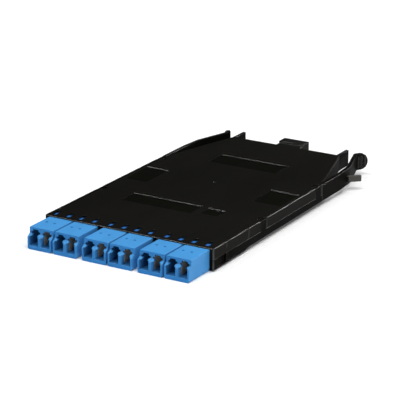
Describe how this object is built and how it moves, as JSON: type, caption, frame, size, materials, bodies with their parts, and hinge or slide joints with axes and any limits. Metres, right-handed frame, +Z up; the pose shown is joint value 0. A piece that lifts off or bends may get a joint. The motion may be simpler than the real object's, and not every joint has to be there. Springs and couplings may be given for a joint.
{
  "type": "fibre cassette",
  "caption": "Flat black fibre cassette with a row of blue duplex LC adapters in front, a multi-fibre adapter at the back and a squeeze lever on each side.",
  "frame": {"origin": "centre of the base of the whole cassette, at the underside of the LC adapters", "axes": "+X along the adapter row, +Y to the back, +Z up through the cover"},
  "size_m": [0.1004, 0.1826, 0.011],
  "materials": {
    "tray_black": "moulded satin",
    "cover_black": "moulded satin",
    "lever_black": "moulded satin",
    "mpo_black": "moulded satin",
    "adapter_blue": "smooth",
    "holder_grey": "smooth",
    "plug_shell": "smooth",
    "boot_white": "matt",
    "ceramic_white": "ground",
    "mpo_ferrule": "smooth",
    "fanout_black": "matt",
    "fibre_jacket": "smooth"
  },
  "bodies": {
    "housing": {"base_tray": "tray_black", "top_cover": "cover_black", "mpo_adapter": "mpo_black", "mpo_plug": "plug_shell", "mpo_ferrule": "mpo_ferrule", "fanout_block": "fanout_black", "fibre_ribbon": "fibre_jacket", "fanout_fibres": "fibre_jacket", "alignment_sleeves": "ceramic_white", "plug_ferrules": "ceramic_white", "plug_boots": "boot_white", "lc_adapter_1": "adapter_blue", "sleeve_holder_1": "holder_grey", "lc_adapter_2": "adapter_blue", "sleeve_holder_2": "holder_grey", "lc_adapter_3": "adapter_blue", "sleeve_holder_3": "holder_grey", "lc_adapter_4": "adapter_blue", "sleeve_holder_4": "holder_grey", "lc_adapter_5": "adapter_blue", "sleeve_holder_5": "holder_grey", "lc_adapter_6": "adapter_blue", "sleeve_holder_6": "holder_grey", "lc_plug_1": "plug_shell", "lc_plug_2": "plug_shell", "lc_plug_3": "plug_shell", "lc_plug_4": "plug_shell", "lc_plug_5": "plug_shell", "lc_plug_6": "plug_shell", "lc_plug_7": "plug_shell", "lc_plug_8": "plug_shell", "lc_plug_9": "plug_shell", "lc_plug_10": "plug_shell", "lc_plug_11": "plug_shell", "lc_plug_12": "plug_shell"},
    "lever_right": {"side_lever_right": "lever_black"},
    "lever_left": {"side_lever_left": "lever_black"}
  },
  "joints": [
    {"name": "right_lever_squeeze", "type": "hinge", "parent": "housing", "child": "lever_right", "pos_m": [0.0419, 0.03425, 0.0065], "axis": [0, 0, 1], "range_deg": [0, 5], "stiffness_Nm_per_rad": 1},
    {"name": "left_lever_squeeze", "type": "hinge", "parent": "housing", "child": "lever_left", "pos_m": [-0.0419, 0.03425, 0.0065], "axis": [0, 0, 1], "range_deg": [-5, 0], "stiffness_Nm_per_rad": 1}
  ]
}
